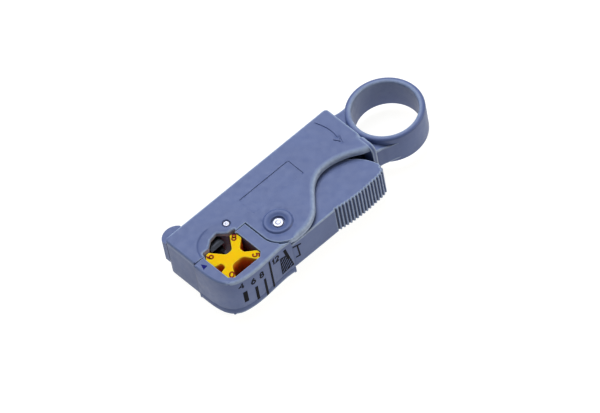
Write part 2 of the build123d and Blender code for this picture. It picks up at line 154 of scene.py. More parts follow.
def rounded(corners, n=6):
    """Polygon whose corners (x, y, r) are rounded to radius r."""
    out = []
    count = len(corners)
    for i, corner in enumerate(corners):
        x, y = corner[:2]
        r = corner[2] if len(corner) > 2 else 0
        if r <= 0:
            out.append((x, y))
            continue
        here = np.array((x, y), float)
        before = np.array(corners[i - 1][:2], float) - here
        after = np.array(corners[(i + 1) % count][:2], float) - here
        lb, la = np.linalg.norm(before), np.linalg.norm(after)
        before, after = before / lb, after / la
        half = math.acos(max(-1, min(1, float(before @ after)))) / 2
        if half > 1.5:
            out.append((x, y))
            continue
        cut = min(r / math.tan(half), 0.48 * min(la, lb))
        r = cut * math.tan(half)
        centre = here + (before + after) / np.linalg.norm(before + after) * (r / math.sin(half))
        a, b = here + before * cut - centre, here + after * cut - centre
        ta, tb = math.atan2(a[1], a[0]), math.atan2(b[1], b[0])
        turn = (tb - ta + math.pi) % (2 * math.pi) - math.pi
        for k in range(n + 1):
            t = ta + turn * k / n
            out.append((centre[0] + r * math.cos(t), centre[1] + r * math.sin(t)))
    return out


def dense(points, step=STEP):
    """Closed loop with long sides divided."""
    out = []
    for a, b in zip(points, points[1:] + points[:1]):
        length = math.dist(a, b)
        if length < 1e-4:
            continue
        n = max(1, int(math.ceil(length / step)))
        out += [(a[0] + (b[0] - a[0]) * k / n, a[1] + (b[1] - a[1]) * k / n) for k in range(n)]
    return np.array(out)


def area(loop):
    x, y = loop[:, 0], loop[:, 1]
    return float((x * np.roll(y, -1) - np.roll(x, -1) * y).sum() / 2)


# ---------------------------------------------------------------- surfaces from outlines


def end_face_highlight_and_seam_shade(x, y, wear_and_painted_light):
    """The edges of the end face are less pale (rubbing and painted highlight), and its parting line gets
    painted shade, which is a value below 0.
    """
    if x > 2.5:
        return wear_and_painted_light
    # paler edging (rubbing and painted highlight) fades out towards the end face
    wear_and_painted_light *= 0.25 + 0.75 * step01((x - 0.6) / 1.8)
    # painted shade along the parting line
    painted_seam_shade = step01(1.5 - abs(y - PARTING_Y) / 0.5) * step01((0.5 - x) / 0.6)
    return wear_and_painted_light - painted_seam_shade * (wear_and_painted_light + 0.85)


class Shape:
    """Vertices and faces that become one mesh."""

    def __init__(self):
        self.verts, self.faces, self.wear_and_painted_light = [], [], []

    def add(self, verts, faces, wear_and_painted_light=None):
        """Adds faces; the per-vertex value says how pale each vertex is from rubbing and painted highlight,
        from 0 to 1, and below 0 how much painted shade it gets.
        """
        base = len(self.verts)
        self.verts += [tuple(v) for v in verts]
        self.wear_and_painted_light += [0.0] * len(verts) if wear_and_painted_light is None else [float(w) for w in wear_and_painted_light]
        self.faces += [tuple(base + i for i in f) for f in faces]

    def make(self, name, material, body, weld=0.002):
        """Mesh object in the row frame, welded, with outward normals, riding on its body if it has one."""
        mesh = bpy.data.meshes.new(name)
        data = [((x + SHIFT_X) * MM, (y + SHIFT_Y) * MM, z * MM) for x, y, z in self.verts]
        mesh.from_pydata(data, [], self.faces)
        # per-vertex value: pale for rubbing and painted highlight, painted shade below 0
        wear_and_painted_light = [end_face_highlight_and_seam_shade(x, y, w) for (x, y, _), w in zip(self.verts, self.wear_and_painted_light)]
        mesh.attributes.new("wear_and_painted_light", "FLOAT", "POINT").data.foreach_set("value", wear_and_painted_light)
        bm = bmesh.new()
        bm.from_mesh(mesh)
        bmesh.ops.remove_doubles(bm, verts=bm.verts, dist=weld * MM)
        bmesh.ops.dissolve_degenerate(bm, dist=weld * MM * 0.5, edges=bm.edges)
        bmesh.ops.recalc_face_normals(bm, faces=bm.faces)
        loose = [v for v in bm.verts if not v.link_faces]
        bmesh.ops.delete(bm, geom=loose, context="VERTS")
        bm.to_mesh(mesh)
        bm.free()
        for polygon in mesh.polygons:
            polygon.use_smooth = True
        obj = bpy.data.objects.new(name, mesh)
        bpy.context.collection.objects.link(obj)
        mesh.materials.append(material)
        mesh.set_sharp_from_angle(angle=math.radians(50))
        if body:
            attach(obj, body)
        return obj


def segments(loops, radii):
    """All sides of the loops as arrays: start, vector, radius at both ends."""
    a = np.concatenate(loops)
    b = np.concatenate([np.roll(loop, -1, 0) for loop in loops])
    ra = np.concatenate(radii)
    rb = np.concatenate([np.roll(r, -1) for r in radii])
    return a, b - a, ra, rb


def nearest(points, seg):
    """Distance from each point to the loops, and the edge radius there."""
    a, d, ra, rb = seg
    dist = np.empty(len(points))
    rad = np.empty(len(points))
    length = (d * d).sum(1)
    for i in range(0, len(points), 2000):
        p = points[i : i + 2000, None] - a
        t = np.clip((p * d).sum(2) / length, 0, 1)
        q = np.linalg.norm(p - t[..., None] * d, axis=2)
        k = q.argmin(1)
        rows = np.arange(len(k))
        dist[i : i + 2000] = q[rows, k]
        rad[i : i + 2000] = ra[k] + (rb[k] - ra[k]) * t[rows, k]
    return dist, rad


def inside(points, loops):
    """Even-odd test."""
    odd = np.zeros(len(points), bool)
    for loop in loops:
        a, b = loop, np.roll(loop, -1, 0)
        for i in range(0, len(points), 4000):
            x, y = points[i : i + 4000, 0, None], points[i : i + 4000, 1, None]
            cross = (a[:, 1] > y) != (b[:, 1] > y)
            with np.errstate(divide="ignore", invalid="ignore"):
                at = (b[:, 0] - a[:, 0]) * (y - a[:, 1]) / (b[:, 1] - a[:, 1]) + a[:, 0]
            odd[i : i + 4000] ^= (cross & (x < at)).sum(1) % 2 == 1
    return odd


def normals(loop):
    """Unit normals to the left of travel at each vertex of a closed loop."""
    d = np.roll(loop, -1, 0) - loop
    d /= np.linalg.norm(d, axis=1)[:, None]
    n = np.stack([-d[:, 1], d[:, 0]], 1)
    n = n + np.roll(n, 1, 0)
    return n / np.maximum(1e-9, np.linalg.norm(n, axis=1))[:, None]


ROUND_STEPS = (0.05, 0.19, 0.41, 0.69, 1.0, 1.35, 1.9)


def cover(loops, radii, extra=(), grid=1.5):
    """Triangles over the area between the loops, with rows of points along each edge for its rounding."""
    seg = segments(loops, radii)
    fixed = np.concatenate(loops)
    free = []
    for loop, radius in zip(loops, radii):
        n = normals(loop)
        for share in ROUND_STEPS:
            for way in (1, -1):
                at = loop + n * (radius * share * way)[:, None]
                dist, _ = nearest(at, seg)
                free.append(at[inside(at, loops) & (dist > radius * share * 0.93)])
    low, high = fixed.min(0), fixed.max(0)
    xs, ys = np.arange(low[0], high[0], grid), np.arange(low[1], high[1], grid * 0.87)
    gx, gy = np.meshgrid(xs, ys)
    gx = gx + (np.arange(len(ys)) % 2 * grid / 2)[:, None]
    at = np.stack([gx.ravel(), gy.ravel()], 1)
    at = at[inside(at, loops)]
    dist, rad = nearest(at, seg)
    free.append(at[dist > rad * 1.9 + 0.3])
    for points in extra:
        at = np.array(points, float)
        at = at[inside(at, loops)]
        if len(at):
            dist, rad = nearest(at, seg)
            free.append(at[dist > 0.02])
    free = np.concatenate(free)
    key = np.round(free / 0.03).astype(int)
    free = free[np.sort(np.unique(key, axis=0, return_index=True)[1])]
    points = np.concatenate([fixed, free])
    edges, base = [], 0
    for loop in loops:
        n = len(loop)
        edges += [(base + i, base + (i + 1) % n) for i in range(n)]
        base += n
    verts, _, faces, *_ = delaunay_2d_cdt([Vector(p) for p in points], edges, [], 0, 1e-7)
    verts = np.array([tuple(v) for v in verts])
    faces = np.array([f for f in faces if len(f) == 3])
    middle = verts[faces].mean(1)
    faces = faces[inside(middle, loops)]
    dist, rad = nearest(verts, seg)
    return verts, faces, dist, rad


def round_drop(dist, rad):
    """How far a rounded edge lies below its face at a distance from the outline."""
    inner = np.clip(rad - dist, 0, None)
    return rad - np.sqrt(np.clip(rad * rad - inner * inner, 0, None))


def quads(rows, n, closed=False):
    """Faces between rows of n points round a loop; closed joins the last row to the first."""
    faces = []
    for k in range(rows if closed else rows - 1):
        m = (k + 1) % rows
        faces += [(k * n + i, k * n + (i + 1) % n, m * n + (i + 1) % n, m * n + i) for i in range(n)]
    return faces


def edge_wear_and_highlight(dist, rad):
    """How pale a rounded edge is at a distance from the outline, from rubbing and a painted highlight along
    the rounding.
    """
    return np.clip(1.1 - np.abs(dist - 0.3 * rad) / (0.75 * rad + 0.05), 0, 1)


def slab(
    shape, loops, z0, z1, r_top=0.4, r_low=0.4, relief=None,
    extra=(), place=None, scored=(), sides=None, grid=1.5,
):
    """Closed plate between z0 and z1 over the loops, with rounded rims.

    relief(x, y) is added to the top face, scored heights get a fine line round the sides, and sides(loop)
    says how pale each upright is from rubbing and painted highlight or, below 0, how dark from painted shade.
    """
    loops = [np.array(loop, float) for loop in loops]
    loops = [loop if (area(loop) > 0) == (i == 0) else loop[::-1] for i, loop in enumerate(loops)]

    def spread(r):
        if callable(r):
            return [np.array([r(x, y) for x, y in loop], float) for loop in loops]
        return [np.full(len(loop), float(r)) for loop in loops]

    move = place or (lambda v: v)
    tops, lows = spread(r_top), spread(r_low)
    for radii, z, sign, lift in ((tops, z1, -1, relief), (lows, z0, 1, None)):
        verts, faces, dist, rad = cover(loops, radii, extra if sign < 0 else (), grid)
        z_at = z + sign * round_drop(dist, rad)
        if lift is not None:
            z_at = z_at + lift(verts[:, 0], verts[:, 1])
        # rounded rims get pale edging from rubbing and painted highlight
        shape.add([move((x, y, h)) for (x, y), h in zip(verts, z_at)], faces.tolist(), edge_wear_and_highlight(dist, rad))
    fade = 0.35
    for loop, top, low in zip(loops, tops, lows):
        out = -normals(loop)
        n = len(loop)
        worn = 0 * low if sides is None else sides(loop)
        # upright rims pale from rubbing and painted highlight; sides(loop) adds painted shade below 0
        levels = [(z0 + low, edge_wear_and_highlight(0 * low, low), 0), (z0 + low + fade, worn, 0)]
        for z in scored:
            levels += [(z + step + 0 * low, worn, depth) for step, depth in ((-0.1, 0), (0, 0.07), (0.1, 0))]
        levels += [(z1 - top - fade, worn, 0), (z1 - top, edge_wear_and_highlight(0 * top, top), 0)]
        if (z1 - z0) < 3 * fade + top.max() + low.max():
            levels = [levels[0], levels[-1]]
        verts, wear_and_painted_light = [], []
        for z, share, depth in levels:
            at = loop - out * depth
            verts += [move((x, y, h)) for (x, y), h in zip(at, z)]
            wear_and_painted_light += list(share)
        shape.add(verts, quads(len(levels), n), wear_and_painted_light)


def lathe(shape, centre, profile, n=128, place=None, worn=None):
    """Profile of (radius, z) points turned round an upright axis; worn(r, z) says how pale each is from
    rubbing and painted highlight.
    """
    move = place or (lambda v: v)
    closed = profile[0] == profile[-1]
    rows = profile[:-1] if closed else profile
    verts = []
    for r, z in rows:
        verts += [move((x, y, z)) for x, y in circle(centre, r, n)]
    wear_and_painted_light = None if worn is None else [worn(r, z) for r, z in rows for _ in range(n)]
    shape.add(verts, quads(len(rows), n, closed), wear_and_painted_light)


def step01(x):
    """Smooth step from 0 to 1."""
    x = np.clip(x, 0, 1)
    return x * x * (3 - 2 * x)


def box_distance(x, y, box, r):
    """Signed distance to a rectangle with rounded corners."""
    cx, cy = (box[0] + box[2]) / 2, (box[1] + box[3]) / 2
    qx, qy = np.abs(x - cx) - (box[2] - box[0]) / 2 + r, np.abs(y - cy) - (box[3] - box[1]) / 2 + r
    return np.hypot(np.maximum(qx, 0), np.maximum(qy, 0)) + np.minimum(np.maximum(qx, qy), 0) - r


def line_distance(x, y, points):
    """Distance to an open line."""
    best = np.full(np.shape(x), 1e9)
    for a, b in zip(points, points[1:]):
        dx, dy = b[0] - a[0], b[1] - a[1]
        t = np.clip(((x - a[0]) * dx + (y - a[1]) * dy) / (dx * dx + dy * dy), 0, 1)
        best = np.minimum(best, np.hypot(x - a[0] - t * dx, y - a[1] - t * dy))
    return best


def beside(points, offsets, step=0.3):
    """Points along both sides of a line, for surface detail."""
    line = []
    for a, b in zip(points, points[1:]):
        n = max(1, int(math.dist(a, b) / step))
        line += [(a[0] + (b[0] - a[0]) * k / n, a[1] + (b[1] - a[1]) * k / n) for k in range(n + 1)]
    out = []
    for a, b in zip(line, line[1:]):
        length = math.dist(a, b)
        if length < 1e-6:
            continue
        nx, ny = -(b[1] - a[1]) / length, (b[0] - a[0]) / length
        for o in offsets:
            out += [(a[0] + nx * o, a[1] + ny * o), (a[0] - nx * o, a[1] - ny * o)]
    return out


# ---------------------------------------------------------------- materials


def srgb(r, g, b):
    """Linear colour from 0-255 display values."""
    linear = [((c / 255 + 0.055) / 1.055) ** 2.4 if c > 10 else c / 255 / 12.92 for c in (r, g, b)]
    return (*linear, 1.0)


class Nodes:
    """Short names for building a node material."""

    def __init__(self, name):
        self.material = bpy.data.materials.new(name)
        self.material.use_nodes = True
        self.tree = self.material.node_tree
        self.tree.nodes.clear()
        self.out = self.node("ShaderNodeOutputMaterial")
        self.shader = self.node("ShaderNodeBsdfPrincipled")
        self.link(self.shader.outputs[0], self.out.inputs["Surface"])
        self.coord = self.node("ShaderNodeTexCoord").outputs["Object"]

    def node(self, kind, **values):
        node = self.tree.nodes.new(kind)
        for key, value in values.items():
            if hasattr(node, key):
                setattr(node, key, value)
            else:
                node.inputs[key].default_value = value
        return node

    def link(self, a, b):
        self.tree.links.new(a, b)

    def noise(self, scale, detail=3.0, rough=0.55, stretch=None):
        """Noise of a given scale per metre, stretched along an axis if asked."""
        node = self.node("ShaderNodeTexNoise", Scale=scale, Detail=detail, Roughness=rough)
        source = self.coord
        if stretch:
            mapping = self.node("ShaderNodeMapping", Scale=stretch)
            self.link(source, mapping.inputs["Vector"])
            source = mapping.outputs["Vector"]
        self.link(source, node.inputs["Vector"])
        return node.outputs["Fac"]

    def ramp(self, source, low, high, to_low=0.0, to_high=1.0):
        node = self.node("ShaderNodeMapRange")
        for key, value in (("From Min", low), ("From Max", high), ("To Min", to_low), ("To Max", to_high)):
            node.inputs[key].default_value = value
        self.link(source, node.inputs["Value"])
        return node.outputs["Result"]

    def mix(self, factor, a, b):
        """Colour between a and b."""
        node = self.node("ShaderNodeMix", data_type="RGBA")
        for value, socket in ((factor, 0), (a, 6), (b, 7)):
            if isinstance(value, (tuple, float, int)):
                node.inputs[socket].default_value = value
            else:
                self.link(value, node.inputs[socket])
        return node.outputs[2]

    def bump(self, source, strength, distance, before=None):
        node = self.node("ShaderNodeBump", Strength=strength, Distance=distance)
        self.link(source, node.inputs["Height"])
        if before is not None:
            self.link(before, node.inputs["Normal"])
        return node.outputs["Normal"]


def plastic(name, colour, dark, light, rough=0.42, grain=0.25, worn=0.85, shine=0.32):
    """Moulded plastic: cloudy pigment, fine spark-eroded grain, edges paler from rubbing and painted
    highlight, and painted shade where the per-vertex value is below 0.
    """
    m = Nodes(name)
    base = m.mix(m.ramp(m.noise(90, 4), 0.35, 0.65), dark, colour)
    # paler edges from rubbing and painted highlight
    wear_and_painted_light = m.node("ShaderNodeMath", operation="MULTIPLY", use_clamp=True)
    m.link(m.node("ShaderNodeAttribute", attribute_name="wear_and_painted_light").outputs["Fac"], wear_and_painted_light.inputs[0])
    m.link(m.ramp(m.noise(700, 5), 0.3, 0.7, 0.6 * worn, worn), wear_and_painted_light.inputs[1])
    base = m.mix(wear_and_painted_light.outputs[0], base, light)
    # painted shade where the per-vertex value is below 0
    shade = m.ramp(m.node("ShaderNodeAttribute", attribute_name="wear_and_painted_light").outputs["Fac"], 0.0, -1.0)
    base = m.mix(shade, base, tuple(c * 0.25 for c in dark[:3]) + (1.0,))
    m.link(base, m.shader.inputs["Base Color"])
    m.link(m.ramp(m.noise(400, 6), 0.3, 0.7, rough - 0.05, rough + 0.09), m.shader.inputs["Roughness"])
    m.shader.inputs["Specular IOR Level"].default_value = shine
    fine = m.bump(m.noise(7000, 2, 0.6), grain, 0.00006)
    soft = m.bump(m.noise(260, 2), 0.12, 0.0004, fine)
    m.link(soft, m.shader.inputs["Normal"])
    return m


def metal(name, colour, dark, rough, stretch=(1, 1, 1), scale=1500, metallic=1.0):
    """Turned, ground or drawn metal with fine tool marks."""
    m = Nodes(name)
    marks = m.noise(scale, 4, 0.6, stretch)
    m.link(m.mix(m.ramp(marks, 0.3, 0.7), dark, colour), m.shader.inputs["Base Color"])
    m.shader.inputs["Metallic"].default_value = metallic
    m.link(m.ramp(marks, 0.3, 0.7, rough - 0.06, rough + 0.1), m.shader.inputs["Roughness"])
    m.link(m.bump(marks, 0.15, 0.00004), m.shader.inputs["Normal"])
    return m.material


def ink(name, colour, worn, rough=0.5):
    """Printed ink with small gaps."""
    m = Nodes(name)
    m.link(m.mix(m.ramp(m.noise(2600, 4), 0.6, 0.72), colour, worn), m.shader.inputs["Base Color"])
    m.link(m.ramp(m.noise(1500, 3), 0.3, 0.7, rough - 0.06, rough + 0.08), m.shader.inputs["Roughness"])
    m.shader.inputs["Specular IOR Level"].default_value = 0.06
    m.link(m.bump(m.noise(5000, 2), 0.1, 0.00003), m.shader.inputs["Normal"])
    return m.material


def block_plastic():
    """Yellow plastic, a little translucent, with the groove walls painted orange to red with depth: a painted
    glow of light through the plastic, added to the subsurface.
    """
    looks = {"rough": 0.5, "grain": 0.1, "worn": 0.6, "shine": 0.03}
    m = plastic("yellow_plastic", srgb(246, 200, 0), srgb(243, 193, 0), srgb(255, 222, 70), **looks)
    depth = m.node("ShaderNodeSeparateXYZ")
    m.link(m.coord, depth.inputs[0])
    face = m.shader.inputs["Base Color"].links[0].from_socket
    # painted glow: orange to red walls with depth stand in for light passing through the plastic
    wall = m.mix(m.ramp(depth.outputs["Z"], 0.006, 0.0145), srgb(226, 66, 22), srgb(255, 118, 28))
    wall = m.mix(m.ramp(depth.outputs["Z"], 0.0145, 0.0163), wall, srgb(255, 170, 40))
    m.link(m.mix(m.ramp(depth.outputs["Z"], 0.0163, 0.0169), wall, face), m.shader.inputs["Base Color"])
    m.shader.inputs["Subsurface Weight"].default_value = 0.3
    m.shader.inputs["Subsurface Radius"].default_value = (1.0, 0.35, 0.05)
    m.shader.inputs["Subsurface Scale"].default_value = 0.003
    return m.material


# the last colour is the pale edging for rubbing and painted highlight
BLUE = plastic("blue_grey_plastic", srgb(84, 99, 141), srgb(80, 94, 135), srgb(172, 188, 208)).material
YELLOW = block_plastic()
STEEL = metal("turned_steel", srgb(196, 194, 198), srgb(150, 149, 156), 0.44, (1, 1, 1), 1800)
# blade steel painted dark: painted shade for blades lying deep in the cassette
SHADED_BLADE_STEEL = metal("blade_steel_painted_dark", srgb(70, 71, 74), srgb(46, 47, 50), 0.34, (0.1, 1, 1), 5000)
DRAWN = metal("drawn_spring_steel", srgb(168, 171, 178), srgb(120, 122, 130), 0.34)
BRASS = metal("turned_brass", srgb(226, 190, 118), srgb(196, 156, 86), 0.3)
NAVY_INK = ink("navy_ink", srgb(7, 8, 18), srgb(20, 23, 40))
BLUE_INK = ink("blue_ink", srgb(18, 22, 104), srgb(34, 40, 120))
RED_INK = ink("red_ink", srgb(132, 26, 10), srgb(170, 60, 16))


# ---------------------------------------------------------------- camera, floor and light

CAMERA_AZ, CAMERA_EL, CAMERA_ROLL = -33.57, 51.59, 11.84
CAMERA_SCALE = 2.93
CAMERA_DISTANCE = 2040.8
AIM = (52.0, 15.0, 8.0)
AIM_PIXEL = (302.44, 182.72)
IMAGE = (600, 413)


def row(x, y, z):
    """Drawing millimetres to the row frame in metres."""
    return Vector(((x + SHIFT_X) * MM, (y + SHIFT_Y) * MM, z * MM))


def make_camera():
    a, e, r = (math.radians(v) for v in (CAMERA_AZ, CAMERA_EL, CAMERA_ROLL))
    right = Vector((math.cos(a), math.sin(a), 0))
    back = Vector((math.sin(a) * math.cos(e), -math.cos(a) * math.cos(e), math.sin(e)))
    up = back.cross(right)
    x_axis = right * math.cos(r) - up * math.sin(r)
    y_axis = right * math.sin(r) + up * math.cos(r)
    data = bpy.data.cameras.new("camera")
    data.sensor_width = 36
    data.lens = CAMERA_SCALE * CAMERA_DISTANCE * data.sensor_width / IMAGE[0]
    data.clip_start, data.clip_end = 0.1, 20
    camera = bpy.data.objects.new("camera", data)
    bpy.context.collection.objects.link(camera)
    du, dv = (AIM_PIXEL[0] - IMAGE[0] / 2) / CAMERA_SCALE, (AIM_PIXEL[1] - IMAGE[1] / 2) / CAMERA_SCALE
    place = row(*AIM) + (back * CAMERA_DISTANCE - x_axis * du + y_axis * dv) * MM
    camera.matrix_world = Matrix.Translation(place) @ Matrix((x_axis, y_axis, back)).transposed().to_4x4()
    bpy.context.scene.camera = camera


def make_floor():
    size, rim = 1.6, 0.02
    bm = bmesh.new()
    bmesh.ops.create_grid(bm, x_segments=24, y_segments=24, size=size)
    mesh = bpy.data.meshes.new("floor")
    bm.to_mesh(mesh)
    bm.free()
    floor = bpy.data.objects.new("floor", mesh)
    bpy.context.collection.objects.link(floor)
    floor.location = (0, 0, cad_low.z - 0.00002)
    m = Nodes("pale_floor")
    m.link(m.mix(m.noise(6, 3), srgb(118, 118, 119), srgb(124, 124, 124)), m.shader.inputs["Base Color"])
    m.shader.inputs["Roughness"].default_value = 0.85
    m.shader.inputs["Emission Color"].default_value = (1, 0.995, 0.97, 1)
    m.shader.inputs["Emission Strength"].default_value = 0.93
    mesh.materials.append(m.material)


def make_light(name, position, target, size, power, colour=(1, 1, 1)):
    data = bpy.data.lights.new(name, "AREA")
    data.size = size
    data.energy = power
    data.color = colour
    light = bpy.data.objects.new(name, data)
    bpy.context.collection.objects.link(light)
    light.location = position
    light.rotation_mode = "QUATERNION"
    light.rotation_quaternion = (Vector(target) - Vector(position)).to_track_quat("-Z", "Y")


def make_lights():
    world = bpy.data.worlds.new("studio")
    world.use_nodes = True
    world.node_tree.nodes["Background"].inputs["Color"].default_value = (1, 1, 1, 1)
    world.node_tree.nodes["Background"].inputs["Strength"].default_value = 0.22
    bpy.context.scene.world = world
    make_light("key", (0.25, 0.55, 1.1), (0, 0, 0), 0.9, 15.2, (0.9, 0.97, 1.14))
    make_light("fill", (-0.9, -0.7, 0.5), (0, 0, 0), 0.8, 0.4, (0.95, 0.97, 1.05))
    make_light("rim", (0.85, -0.7, 0.42), (0, 0, 0), 0.5, 4.2, (1.15, 1.03, 0.82))


bpy.context.scene.view_settings.view_transform = "Standard"
make_camera()
make_floor()
make_lights()

# ---------------------------------------------------------------- body moulding

HUB_EDGE = ((23.3, 1.5), (24.9, -3.3), (28.6, -6.1))
HUB_STEP = ((29.3, -6.2, 0.2), (30.0, -6.5, 0.4))
BOTTOM_HUB_R = 7.0
BOTTOM_CUT_X = 41.0
PLATE_CORNER_Y = 1.6
THIN = 0.02
LABEL = (28.1, 11.6, 51.0, 19.5)
ARROW = arc((68.3, 23.8), (69.4, 19.2), (69.0, 14.2))
ARROW_HEAD = ((67.4, 14.2), (68.8, 11.4), (70.0, 14.2))
DISH = (12.0, 9.6)
DISH_R = 9.2


def notch_edge():
    """Cable notch with softened corners, from the nose side to the pivot side."""
    return rounded([(*NOTCH_ENDS[1], 0.3), *((x, y, 0.5) for x, y in NOTCH[::-1]), (*NOTCH_ENDS[0], 0.3)])


def plate_back():
    """Far side of both plates, round the back edge to the nose."""
    corners = [THUMB_CUT[-1], (END_X, PLATE_CORNER_Y, 0.4), (END_X, BACK_Y, END_CORNER_R)]
    corners += [(NOSE_X, BACK_Y, NOSE_CORNER_R), (NOSE_X, PARTING_Y)]
    return rounded(corners)[1:-1]


def plate_outline():
    """Top plate with the cable notch, anticlockwise."""
    out = [(NOSE_X, PARTING_Y), *notch_edge(), (HUB_EDGE[0][0], PARTING_Y)]
    out += arc(*HUB_EDGE)
    out += rounded([HUB_EDGE[-1], *HUB_STEP, THUMB_CUT[0]])[1:-1]
    out += curve(THUMB_CUT, ends=((1, 0), (0.87, -0.5)))
    return dense(out + plate_back())


def bottom_outline():
    """Bottom plate, cut back further round the hub."""
    low = PIVOT[1] - BOTTOM_HUB_R
    bend = BOTTOM_HUB_R * math.sin(math.radians(45))
    out = [(NOSE_X, PARTING_Y), *notch_edge(), (PIVOT[0] - BOTTOM_HUB_R, PARTING_Y)]
    out += arc((PIVOT[0] - BOTTOM_HUB_R, PIVOT[1]), (PIVOT[0] - bend, PIVOT[1] - bend), (PIVOT[0], low))
    out += curve(((BOTTOM_CUT_X, low), *THUMB_CUT[3:]), ends=((1, 0), (0.87, -0.5)))
    return dense(out + plate_back())


def plate_radius(x, y):
    """Edge rounding round the top plate: wide along the thumb cut, small at the seams."""
    cut = step01(np.array((x - 29.6) / 3)) * (1 - step01(np.array((y - 9.0) / 1.5)))
    corner = step01(np.array((x - 69.5) / 4)) * cut
    seam = 0.28 if y < PARTING_Y + 0.3 and x < 30 else 0.7 if x < 20 and y < 18 and x > 1 else 0.75
    return float(seam + (1.45 - seam) * cut + 0.45 * corner)


def plate_relief(x, y):
    """Details on the top plate: label panel, arrow, dished notch, pivot rim and pin seats."""
    z = -0.3 * (1 - step01(box_distance(x, y, LABEL, 0.3) / 0.1 + 0.5))
    groove = np.minimum(line_distance(x, y, ARROW), line_distance(x, y, ARROW_HEAD))
    z -= 0.32 * (1 - step01((groove - 0.16) / 0.2))
    r = np.hypot(x - PIVOT[0], y - PIVOT[1])
    z += 0.36 * step01((5.3 - r) / 0.6) * step01((r - 2.6) / 1.9)
    z -= 0.22 * step01((6.1 - r) / 0.5) * step01((r - 5.0) / 0.3)
    z -= 0.25 * step01((3.6 - r) / 1.2)
    z -= 0.7 * (1 - step01((r - 2.38) / 0.14))
    r = np.hypot(x - PIN_X, y - PIN_Y)
    z -= 0.6 * (1 - step01((r - 1.32) / 0.14)) + 0.1 * (1 - step01((r - 1.4) / 0.7))
    r = np.hypot(x - DISH[0], y - DISH[1])
    dish = np.clip((DISH_R - r) / 5.2, 0, 1) * 0.8 + 0.2 * step01((DISH_R - r) / 0.5) * step01((15 - x) / 6)
    z -= dish * step01((PIN_X + 0.6 - x) / 5.0)
    return z


def ring_rows(centre, radii, n=72):
    """Rows of points round a circle."""
    return [p for r in radii for p in circle(centre, r, max(12, int(n * r / 5)))]


def plate_detail():
    """Surface points where the top plate has detail."""
    corners = [LABEL[:2], (LABEL[2], LABEL[1]), LABEL[2:], (LABEL[0], LABEL[3]), LABEL[:2]]
    rows = [beside(corners, (0.0, 0.04, 0.08, 0.16, 0.4), 0.5)]
    for line in (ARROW, ARROW_HEAD):
        rows.append(beside(line, (0.0, 0.1, 0.18, 0.26, 0.34, 0.45, 0.7), 0.25))
    boss = (1.5, 2.3, 2.37, 2.42, 2.47, 2.54, 2.9, 3.2, 3.4, 3.6, 3.8, 4.0, 4.2, 4.5, 4.8)
    rows.append(ring_rows(PIVOT, (*boss, 4.9, 5.0, 5.1, 5.2, 5.3, 5.6), 90))
    rows.append(ring_rows((PIN_X, PIN_Y), (0.8, 1.26, 1.32, 1.37, 1.42, 1.48, 1.6, 1.8, 2.0, 2.2), 80))
    rows.append(ring_rows(DISH, (3.4, 4.0, 4.6, 5.5, 6.3, 7.1, 7.9, 8.5, 8.7, 8.85, 9.0, 9.1, 9.25, 9.5), 70))
    return rows


def left_wall():
    """Nose wall between the plates, with the body's rounded corner."""
    inner, deep = 1.6, 13.0
    centre = (NOSE_X + NOSE_CORNER_R, BACK_Y - NOSE_CORNER_R)
    start = math.acos(min(1, (inner - centre[0]) / NOSE_CORNER_R))
    r, angles = NOSE_CORNER_R, np.linspace(start, math.pi, 10)
    bend = [(centre[0] + r * math.cos(t), centre[1] + r * math.sin(t)) for t in angles]
    notch = [NOTCH_ENDS[1], NOTCH[-1], NOTCH[-2], (8.2, deep), (inner, deep)]
    return dense(notch + bend + [(NOSE_X, PARTING_Y)])


def right_wall():
    """Walls between the plates, from the notch round the back to the end."""
    room, end = BACK_Y - WALL_T, END_X - WALL_T
    corners = [(ROOM_X, PARTING_Y), (ROOM_X, room, 0.8), (end, room, 0.8), (end, 6.0), (END_X - 0.04, 6.0)]
    corners += [(END_X, BACK_Y, END_CORNER_R), (21.2, BACK_Y), (21.2, 13.0), (15.7, 13.0), NOTCH[1]]
    return dense(rounded([*corners, NOTCH[0], NOTCH_ENDS[0]]))


def make_body():
    shape = Shape()
    slab(shape, [plate_outline()], BODY_T - PLATE_T, BODY_T, plate_radius, THIN, plate_relief, plate_detail())
    slab(shape, [bottom_outline()], 0, PLATE_T, THIN, 0.6)
    for wall in (left_wall(), right_wall()):
        slab(shape, [wall], PLATE_T, BODY_T - PLATE_T, THIN, THIN, grid=3)
    # end wall, drawn in the YZ plane so that its lower end curves
    low, high, round_r = 1.2, 8.0, 3.0
    bottom, top = 0.03, BODY_T - 0.03
    wall = rounded([(low, bottom, round_r), (high, bottom), (high, top), (low, top, round_r)], 12)
    slab(shape, [dense(wall)], END_X - WALL_T, END_X - 0.02, 0.5, 0.3, place=lambda v: (v[2], v[0], v[1]))
    post_r, post_len, x, z = 2.0, 3.2, 60.0, BODY_T / 2
    post = [(0.001, 0), (post_r - 0.3, 0), (post_r, 0.3), (post_r, post_len)]
    inner = BACK_Y - WALL_T - post_len
    lathe(shape, (0, 0), post, 48, lambda v: (x + v[0], inner + v[2], z + v[1]))
    body = shape.make("body_moulding", BLUE, "body")
    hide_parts("body")


RING_T = 12.6
RING_RIM = 0.9
NECK_Z = (4.0, 12.9)
NECK_THUMB_SIDE = (
    (76.5, 2.35), (78.2, 1.95), (79.6, 1.4), (81.0, 0.98), (82.2, 0.58), (83.6, 0.02), (85.2, -0.58),
)


